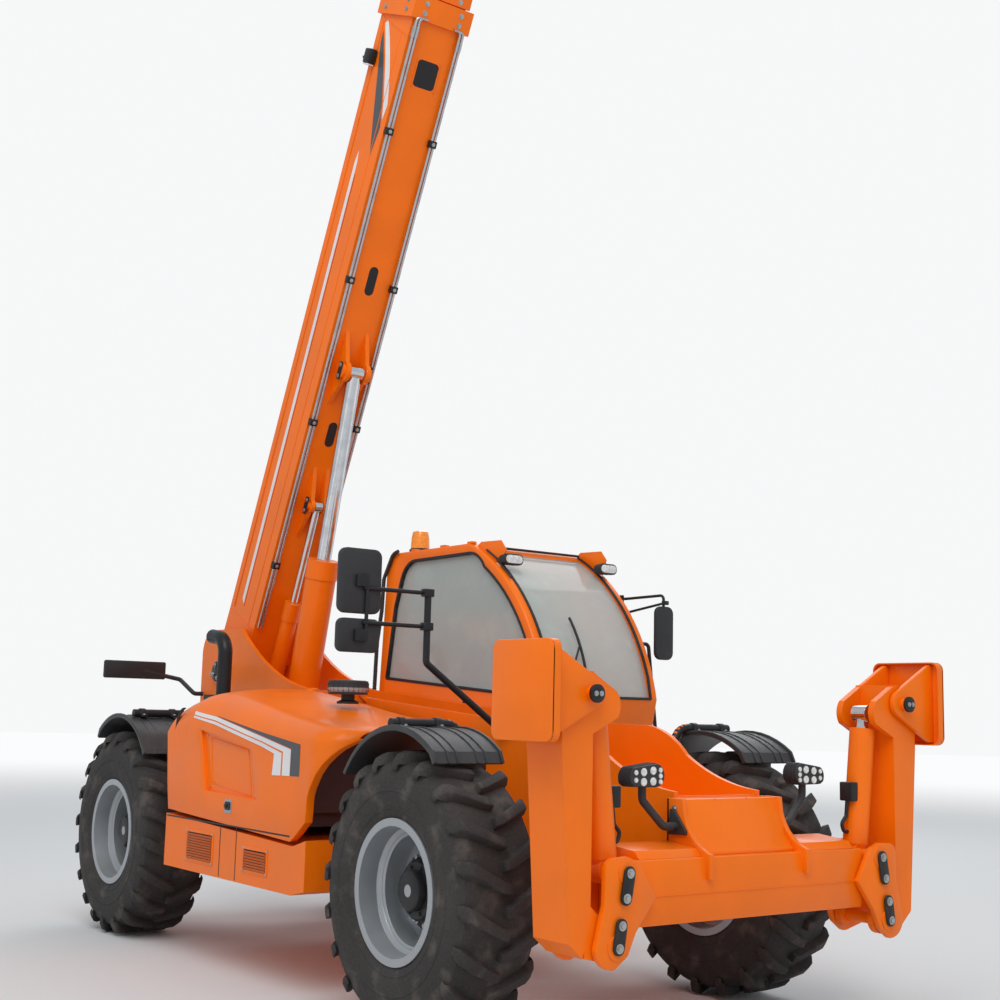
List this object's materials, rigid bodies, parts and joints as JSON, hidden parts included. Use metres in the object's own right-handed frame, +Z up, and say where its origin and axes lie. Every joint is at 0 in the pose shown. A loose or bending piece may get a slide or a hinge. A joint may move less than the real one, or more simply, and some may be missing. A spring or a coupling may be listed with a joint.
{
  "type": "telescopic handler",
  "caption": "Rough-terrain machine with a raised telescopic boom, fork carriage, side cab, four steered wheels and front stabiliser legs.",
  "frame": {"origin": "centre of the machine's footprint on the ground, 230 mm ahead of the middle of the wheel base", "axes": "+X forward, +Y to the machine's left, +Z up"},
  "size_m": [5.3935, 2.618, 7.2584],
  "materials": {
    "orange_paint": "gloss",
    "silver_paint": "satin",
    "black_paint": "satin",
    "black_plastic": "matte",
    "tyre_rubber": "matte",
    "glass": "clear",
    "chrome": "polished",
    "steel_pipe": "satin",
    "engine_iron": "rough"
  },
  "bodies": {
    "chassis": {"main_frame": "orange_paint", "front_beam": "orange_paint", "front_axle": "orange_paint", "rear_axle": "orange_paint", "engine": "engine_iron", "side_boxes": "orange_paint", "cab_shell": "orange_paint", "cab_glass": "glass", "cab_interior": "black_plastic", "exhaust": "black_paint", "lamps": "black_plastic", "mirrors": "black_plastic"},
    "hood": {"hood": "orange_paint", "pre_cleaner": "black_plastic"},
    "door": {"cab_door": "orange_paint", "door_glass": "glass"},
    "boom": {"boom_base": "orange_paint", "boom_pipes": "steel_pipe"},
    "section_2": {"boom_section_2": "orange_paint"},
    "section_3": {"boom_section_3": "orange_paint"},
    "section_4": {"boom_section_4": "orange_paint"},
    "carriage": {"fork_carriage": "orange_paint"},
    "lift_barrel": {"lift_barrel": "orange_paint"},
    "lift_rod": {"lift_rod": "chrome"},
    "slave_barrel": {"slave_barrel": "orange_paint"},
    "slave_rod": {"slave_rod": "chrome"},
    "front_right_knuckle": {"front_right_knuckle": "orange_paint", "front_right_fender": "black_plastic"},
    "front_right_wheel": {"front_right_tyre": "tyre_rubber", "front_right_rim": "silver_paint"},
    "front_left_knuckle": {"front_left_knuckle": "orange_paint", "front_left_fender": "black_plastic"},
    "front_left_wheel": {"front_left_tyre": "tyre_rubber", "front_left_rim": "silver_paint"},
    "rear_right_knuckle": {"rear_right_knuckle": "orange_paint", "rear_right_fender": "black_plastic"},
    "rear_right_wheel": {"rear_right_tyre": "tyre_rubber", "rear_right_rim": "silver_paint"},
    "rear_left_knuckle": {"rear_left_knuckle": "orange_paint", "rear_left_fender": "black_plastic"},
    "rear_left_wheel": {"rear_left_tyre": "tyre_rubber", "rear_left_rim": "silver_paint"},
    "right_leg": {"right_leg": "orange_paint"},
    "right_pad": {"right_pad": "orange_paint"},
    "right_jack_barrel": {"right_jack_barrel": "orange_paint"},
    "right_jack_rod": {"right_jack_rod": "chrome"},
    "left_leg": {"left_leg": "orange_paint"},
    "left_pad": {"left_pad": "orange_paint"},
    "left_jack_barrel": {"left_jack_barrel": "orange_paint"},
    "left_jack_rod": {"left_jack_rod": "chrome"}
  },
  "joints": [
    {"name": "boom_lift", "type": "hinge", "parent": "chassis", "child": "boom", "pos_m": [-2.35, 0, 1.7], "axis": [0, -1, 0], "range_deg": [-68, 5]},
    {"name": "lift_swing", "type": "hinge", "parent": "chassis", "child": "lift_barrel", "pos_m": [-1.76, 0, 0.93], "axis": [0, -1, 0], "range_deg": [-65.6, 5.75]},
    {"name": "lift_rod", "type": "slide", "parent": "lift_barrel", "child": "lift_rod", "axis": [0.2412, 0, 0.9705], "range_m": [-1.0494, 0.0818]},
    {"name": "slave_swing", "type": "hinge", "parent": "chassis", "child": "slave_barrel", "pos_m": [-2.18, 0, 1.25], "axis": [0, -1, 0], "range_deg": [-62.79, 5.54]},
    {"name": "slave_rod", "type": "slide", "parent": "slave_barrel", "child": "slave_rod", "axis": [0.3913, 0, 0.9202], "range_m": [-0.517, 0.0426]},
    {"name": "extend_2", "type": "slide", "parent": "boom", "child": "section_2", "axis": [0.4226, 0, 0.9063], "range_m": [0, 3.6]},
    {"name": "extend_3", "type": "slide", "parent": "section_2", "child": "section_3", "axis": [0.4226, 0, 0.9063], "range_m": [0, 3.6]},
    {"name": "extend_4", "type": "slide", "parent": "section_3", "child": "section_4", "axis": [0.4226, 0, 0.9063], "range_m": [0, 3.6]},
    {"name": "carriage_tilt", "type": "hinge", "parent": "section_4", "child": "carriage", "pos_m": [0.60923, 0, 7.02863], "axis": [0, -1, 0], "range_deg": [-54, 80]},
    {"name": "hood_lift", "type": "hinge", "parent": "chassis", "child": "hood", "pos_m": [-0.23, -0.345, 1.56], "axis": [-1, 0, 0], "range_deg": [0, 50]},
    {"name": "door_swing", "type": "hinge", "parent": "chassis", "child": "door", "pos_m": [-0.845, 1.192, 1.7], "axis": [0, 0, 1], "range_deg": [0, 95]},
    {"name": "front_right_steer", "type": "hinge", "parent": "chassis", "child": "front_right_knuckle", "pos_m": [1.465, -0.72, 0.64], "axis": [0, 0, 1], "range_deg": [-35, 35]},
    {"name": "front_right_spin", "type": "hinge", "parent": "front_right_knuckle", "child": "front_right_wheel", "pos_m": [1.465, -0.975, 0.64], "axis": [0, 1, 0], "continuous": true},
    {"name": "front_left_steer", "type": "hinge", "parent": "chassis", "child": "front_left_knuckle", "pos_m": [1.465, 0.72, 0.64], "axis": [0, 0, 1], "range_deg": [-35, 35]},
    {"name": "front_left_spin", "type": "hinge", "parent": "front_left_knuckle", "child": "front_left_wheel", "pos_m": [1.465, 0.975, 0.64], "axis": [0, 1, 0], "continuous": true},
    {"name": "rear_right_steer", "type": "hinge", "parent": "chassis", "child": "rear_right_knuckle", "pos_m": [-1.925, -0.72, 0.64], "axis": [0, 0, 1], "range_deg": [-35, 35]},
    {"name": "rear_right_spin", "type": "hinge", "parent": "rear_right_knuckle", "child": "rear_right_wheel", "pos_m": [-1.925, -0.975, 0.64], "axis": [0, 1, 0], "continuous": true},
    {"name": "rear_left_steer", "type": "hinge", "parent": "chassis", "child": "rear_left_knuckle", "pos_m": [-1.925, 0.72, 0.64], "axis": [0, 0, 1], "range_deg": [-35, 35]},
    {"name": "rear_left_spin", "type": "hinge", "parent": "rear_left_knuckle", "child": "rear_left_wheel", "pos_m": [-1.925, 0.975, 0.64], "axis": [0, 1, 0], "continuous": true},
    {"name": "right_leg_swing", "type": "hinge", "parent": "chassis", "child": "right_leg", "pos_m": [2.4975, -0.854, 0.536], "axis": [1, 0, 0], "range_deg": [0, 118]},
    {"name": "right_jack_swing", "type": "hinge", "parent": "chassis", "child": "right_jack_barrel", "pos_m": [2.4975, -0.799, 0.828], "axis": [1, 0, 0], "range_deg": [0, 127.28]},
    {"name": "right_jack_slide", "type": "slide", "parent": "right_jack_barrel", "child": "right_jack_rod", "axis": [0, -0.1124, 0.9937], "range_m": [0, 0.4023]},
    {"name": "right_pad_swing", "type": "hinge", "parent": "right_leg", "child": "right_pad", "pos_m": [2.4975, -1, 1.548], "axis": [1, 0, 0], "range_deg": [-35, 0]},
    {"name": "left_leg_swing", "type": "hinge", "parent": "chassis", "child": "left_leg", "pos_m": [2.4975, 0.854, 0.536], "axis": [-1, 0, 0], "range_deg": [0, 118]},
    {"name": "left_jack_swing", "type": "hinge", "parent": "chassis", "child": "left_jack_barrel", "pos_m": [2.4975, 0.799, 0.828], "axis": [-1, 0, 0], "range_deg": [0, 127.28]},
    {"name": "left_jack_slide", "type": "slide", "parent": "left_jack_barrel", "child": "left_jack_rod", "axis": [0, 0.1124, 0.9937], "range_m": [0, 0.4023]},
    {"name": "left_pad_swing", "type": "hinge", "parent": "left_leg", "child": "left_pad", "pos_m": [2.4975, 1, 1.548], "axis": [-1, 0, 0], "range_deg": [-35, 0]}
  ],
  "couplings": [
    {"joint": "lift_swing", "follows": "boom_lift", "ratio": 0.95},
    {"joint": "lift_rod", "follows": "boom_lift", "m_per_rad": 0.88},
    {"joint": "slave_swing", "follows": "boom_lift", "ratio": 0.9087},
    {"joint": "slave_rod", "follows": "boom_lift", "m_per_rad": 0.4314},
    {"joint": "extend_3", "follows": "extend_2", "ratio": 1},
    {"joint": "extend_4", "follows": "extend_2", "ratio": 1},
    {"joint": "front_left_steer", "follows": "front_right_steer", "ratio": 1},
    {"joint": "rear_left_steer", "follows": "rear_right_steer", "ratio": 1},
    {"joint": "right_jack_swing", "follows": "right_leg_swing", "ratio": 1.0702},
    {"joint": "right_jack_slide", "follows": "right_leg_swing", "m_per_rad": 0.1929},
    {"joint": "left_jack_swing", "follows": "left_leg_swing", "ratio": 1.0702},
    {"joint": "left_jack_slide", "follows": "left_leg_swing", "m_per_rad": 0.1929}
  ]
}
